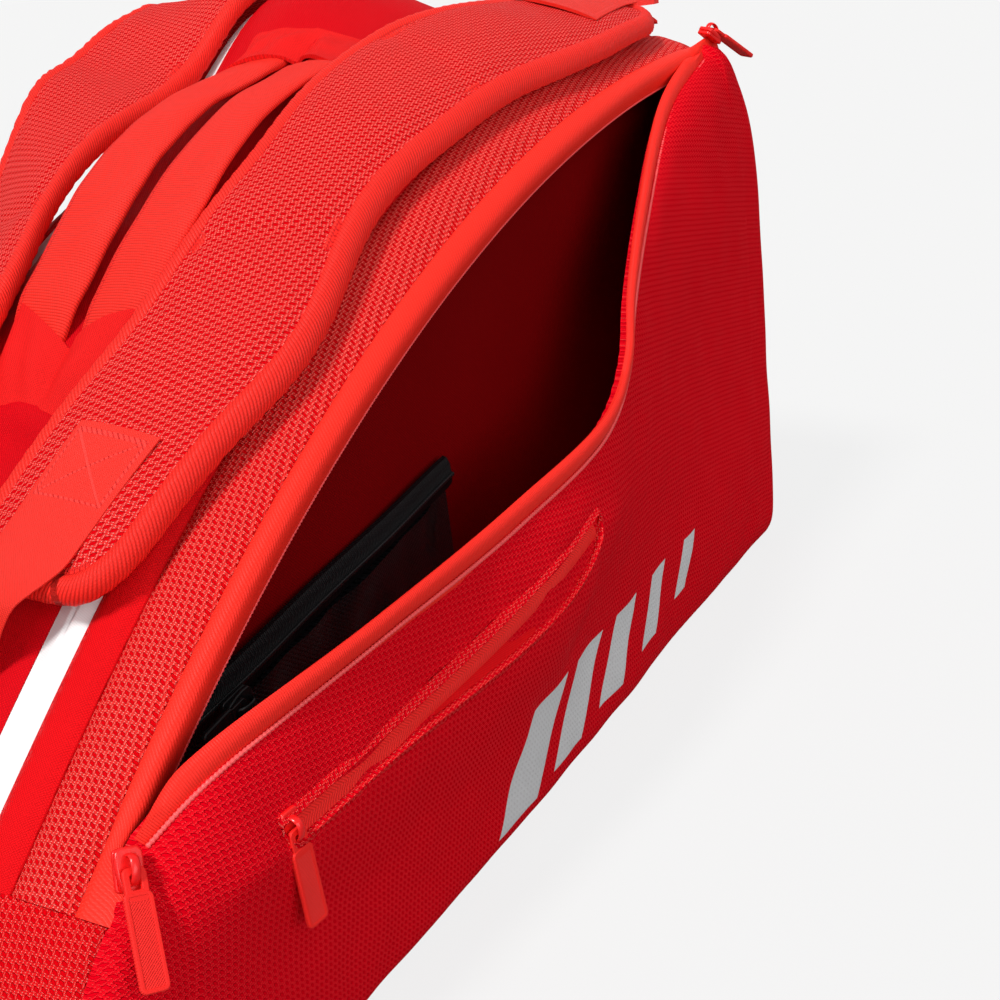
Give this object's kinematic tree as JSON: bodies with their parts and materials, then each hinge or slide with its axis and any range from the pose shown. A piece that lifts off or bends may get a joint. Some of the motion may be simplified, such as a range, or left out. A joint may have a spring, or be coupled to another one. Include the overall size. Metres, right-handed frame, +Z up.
{
  "type": "racket tournament bag",
  "caption": "Wedge-shaped soft tournament bag for rackets with an open front accessory pocket, shoulder straps and carry handles.",
  "frame": {"origin": "on the floor under the middle of the bag, on the flat underside of the base", "axes": "+X along the bag from the low end to the high end, -Y towards the open front pocket, +Z up"},
  "size_m": [0.7305, 0.355, 0.4271],
  "materials": {
    "woven_panel": "chunky two-tone weave with a soft sheen",
    "binding_tape": "smooth herringbone tape",
    "webbing": "fine cross-ribbed webbing",
    "white_zip_tape": "matt zip tape with a covered coil",
    "lining": "matt plain weave",
    "stiffener": "matt sheet",
    "black_mesh": "glossy open mesh",
    "buckle": "moulded, satin",
    "zip_slider": "enamelled",
    "pull_tab": "moulded, fine diagonal ribs",
    "black_zip_hardware": "enamelled"
  },
  "bodies": {
    "bag_body": {"base_panel": "woven_panel", "base_board": "stiffener", "spine_panel": "woven_panel", "racket_divider": "lining", "side_panel_front_near": "woven_panel", "side_panel_front_far": "woven_panel", "side_panel_rear": "woven_panel", "pocket_zip_lip_near": "binding_tape", "pocket_zip_lip_far": "binding_tape", "slot_zip": "binding_tape", "mesh_pouch": "black_mesh", "pouch_zip": "black_mesh", "pouch_slider": "black_zip_hardware", "pocket_near_slider": "zip_slider", "pocket_far_slider": "zip_slider", "handle_pleat_near": "webbing", "handle_pleat_far": "webbing", "webbing_pleat_near": "webbing", "main_zip_front": "white_zip_tape", "binding_band_front": "binding_tape", "gusset_front": "woven_panel", "pocket_zip_fixed_front": "binding_tape", "pocket_wall_front": "lining", "ladder_lock_front": "buckle", "strap_loop_front": "buckle", "strap_anchor_far_front": "webbing", "main_zip_rear": "white_zip_tape", "binding_band_rear": "binding_tape", "gusset_rear": "woven_panel", "pocket_zip_fixed_rear": "binding_tape", "pocket_wall_rear": "lining", "ladder_lock_rear": "buckle", "strap_loop_rear": "buckle", "strap_anchor_far_rear": "webbing"},
    "pocket_flap": {"pocket_flap_front": "woven_panel", "pocket_zip_lip_middle": "binding_tape"},
    "pocket_near_pull": {"pocket_near_pull": "pull_tab"},
    "pocket_far_pull": {"pocket_far_pull": "pull_tab"},
    "slot_slider": {"slot_slider": "zip_slider"},
    "slot_pull": {"slot_pull": "pull_tab"},
    "main_front_upper_slider": {"main_front_upper_slider": "zip_slider"},
    "main_front_upper_pull": {"main_front_upper_pull": "pull_tab"},
    "main_front_lower_slider": {"main_front_lower_slider": "zip_slider"},
    "main_front_lower_pull": {"main_front_lower_pull": "pull_tab"},
    "main_rear_upper_slider": {"main_rear_upper_slider": "zip_slider"},
    "main_rear_upper_pull": {"main_rear_upper_pull": "pull_tab"},
    "main_rear_lower_slider": {"main_rear_lower_slider": "zip_slider"},
    "main_rear_lower_pull": {"main_rear_lower_pull": "pull_tab"},
    "pocket_rear_near_slider": {"pocket_rear_near_slider": "zip_slider"},
    "pocket_rear_near_pull": {"pocket_rear_near_pull": "pull_tab"},
    "pocket_rear_far_slider": {"pocket_rear_far_slider": "zip_slider"},
    "pocket_rear_far_pull": {"pocket_rear_far_pull": "pull_tab"},
    "carry_handle_front": {"carry_handle_front": "webbing"},
    "carry_handle_rear": {"carry_handle_rear": "webbing"},
    "shoulder_strap_front": {"shoulder_strap_front": "woven_panel", "strap_webbing_lower_front": "webbing", "strap_tab_front": "webbing"},
    "shoulder_strap_rear": {"shoulder_strap_rear": "woven_panel", "strap_webbing_lower_rear": "webbing", "strap_tab_rear": "webbing"}
  },
  "joints": [
    {"name": "pocket_flap_gape", "type": "hinge", "parent": "bag_body", "child": "pocket_flap", "pos_m": [0.028, -0.184, 0.045], "axis": [1, 0, 0], "range_deg": [-12, 12]},
    {"name": "pocket_near_pull_swing", "type": "hinge", "parent": "bag_body", "child": "pocket_near_pull", "pos_m": [-0.29468, -0.15629, 0.14259], "axis": [-0.883, 0.3548, 0.3075], "range_deg": [0, 120]},
    {"name": "pocket_far_pull_swing", "type": "hinge", "parent": "bag_body", "child": "pocket_far_pull", "pos_m": [0.31972, -0.14714, 0.35563], "axis": [-0.3308, -0.9328, -0.143], "range_deg": [0, 100]},
    {"name": "slot_slider_travel", "type": "slide", "parent": "bag_body", "child": "slot_slider", "axis": [0.991, -0.0996, 0.0896], "range_m": [0, 0.06]},
    {"name": "slot_pull_swing", "type": "hinge", "parent": "slot_slider", "child": "slot_pull", "pos_m": [-0.23455, -0.17891, 0.12494], "axis": [-0.9968, 0.0797, 0], "range_deg": [0, 150]},
    {"name": "main_front_upper_slider_travel", "type": "slide", "parent": "bag_body", "child": "main_front_upper_slider", "axis": [0, 0, -1], "range_m": [0, 0.075]},
    {"name": "main_front_upper_pull_swing", "type": "hinge", "parent": "main_front_upper_slider", "child": "main_front_upper_pull", "pos_m": [0.36819, -0.078, 0.2674], "axis": [0, -1, 0], "range_deg": [0, 150]},
    {"name": "main_front_lower_slider_travel", "type": "slide", "parent": "bag_body", "child": "main_front_lower_slider", "axis": [0, 0, -1], "range_m": [0, 0.075]},
    {"name": "main_front_lower_pull_swing", "type": "hinge", "parent": "main_front_lower_slider", "child": "main_front_lower_pull", "pos_m": [0.36819, -0.078, 0.2114], "axis": [0, -1, 0], "range_deg": [0, 150]},
    {"name": "main_rear_upper_slider_travel", "type": "slide", "parent": "bag_body", "child": "main_rear_upper_slider", "axis": [0, 0, -1], "range_m": [0, 0.075]},
    {"name": "main_rear_upper_pull_swing", "type": "hinge", "parent": "main_rear_upper_slider", "child": "main_rear_upper_pull", "pos_m": [0.36819, 0.078, 0.2674], "axis": [0, -1, 0], "range_deg": [0, 150]},
    {"name": "main_rear_lower_slider_travel", "type": "slide", "parent": "bag_body", "child": "main_rear_lower_slider", "axis": [0, 0, -1], "range_m": [0, 0.075]},
    {"name": "main_rear_lower_pull_swing", "type": "hinge", "parent": "main_rear_lower_slider", "child": "main_rear_lower_pull", "pos_m": [0.36819, 0.078, 0.2114], "axis": [0, -1, 0], "range_deg": [0, 150]},
    {"name": "pocket_rear_near_slider_travel", "type": "hinge", "parent": "bag_body", "child": "pocket_rear_near_slider", "pos_m": [0.306, 0, -0.614], "axis": [0, 1, 0], "range_deg": [0, 15]},
    {"name": "pocket_rear_near_pull_swing", "type": "hinge", "parent": "pocket_rear_near_slider", "child": "pocket_rear_near_pull", "pos_m": [-0.29112, 0.14214, 0.14729], "axis": [0.37, 0.8, -0.4723], "range_deg": [0, 150]},
    {"name": "pocket_rear_far_slider_travel", "type": "hinge", "parent": "bag_body", "child": "pocket_rear_far_slider", "pos_m": [0.306, 0, -0.614], "axis": [0, 1, 0], "range_deg": [0, 15]},
    {"name": "pocket_rear_far_pull_swing", "type": "hinge", "parent": "pocket_rear_far_slider", "child": "pocket_rear_far_pull", "pos_m": [-0.23261, 0.14214, 0.18958], "axis": [0.3338, 0.8, -0.4986], "range_deg": [0, 150]},
    {"name": "carry_handle_front_tilt", "type": "hinge", "parent": "bag_body", "child": "carry_handle_front", "pos_m": [-0.03266, -0.0215, 0.33059], "axis": [0.9129, 0, 0.4082], "range_deg": [-6, 12]},
    {"name": "carry_handle_rear_tilt", "type": "hinge", "parent": "bag_body", "child": "carry_handle_rear", "pos_m": [-0.03281, 0.0215, 0.33119], "axis": [-0.9105, 0, -0.4135], "range_deg": [-6, 12]},
    {"name": "shoulder_strap_front_lift", "type": "hinge", "parent": "bag_body", "child": "shoulder_strap_front", "pos_m": [0.314, -0.0865, 0.377], "axis": [0, 1, 0], "range_deg": [0, 5]},
    {"name": "shoulder_strap_rear_lift", "type": "hinge", "parent": "bag_body", "child": "shoulder_strap_rear", "pos_m": [0.314, 0.0858, 0.377], "axis": [0, 1, 0], "range_deg": [0, 5]}
  ],
  "couplings": [
    {"joint": "main_front_lower_slider_travel", "follows": "main_front_upper_slider_travel", "ratio": 1},
    {"joint": "main_rear_lower_slider_travel", "follows": "main_rear_upper_slider_travel", "ratio": 1},
    {"joint": "pocket_rear_near_slider_travel", "follows": "pocket_rear_far_slider_travel", "ratio": 1}
  ]
}
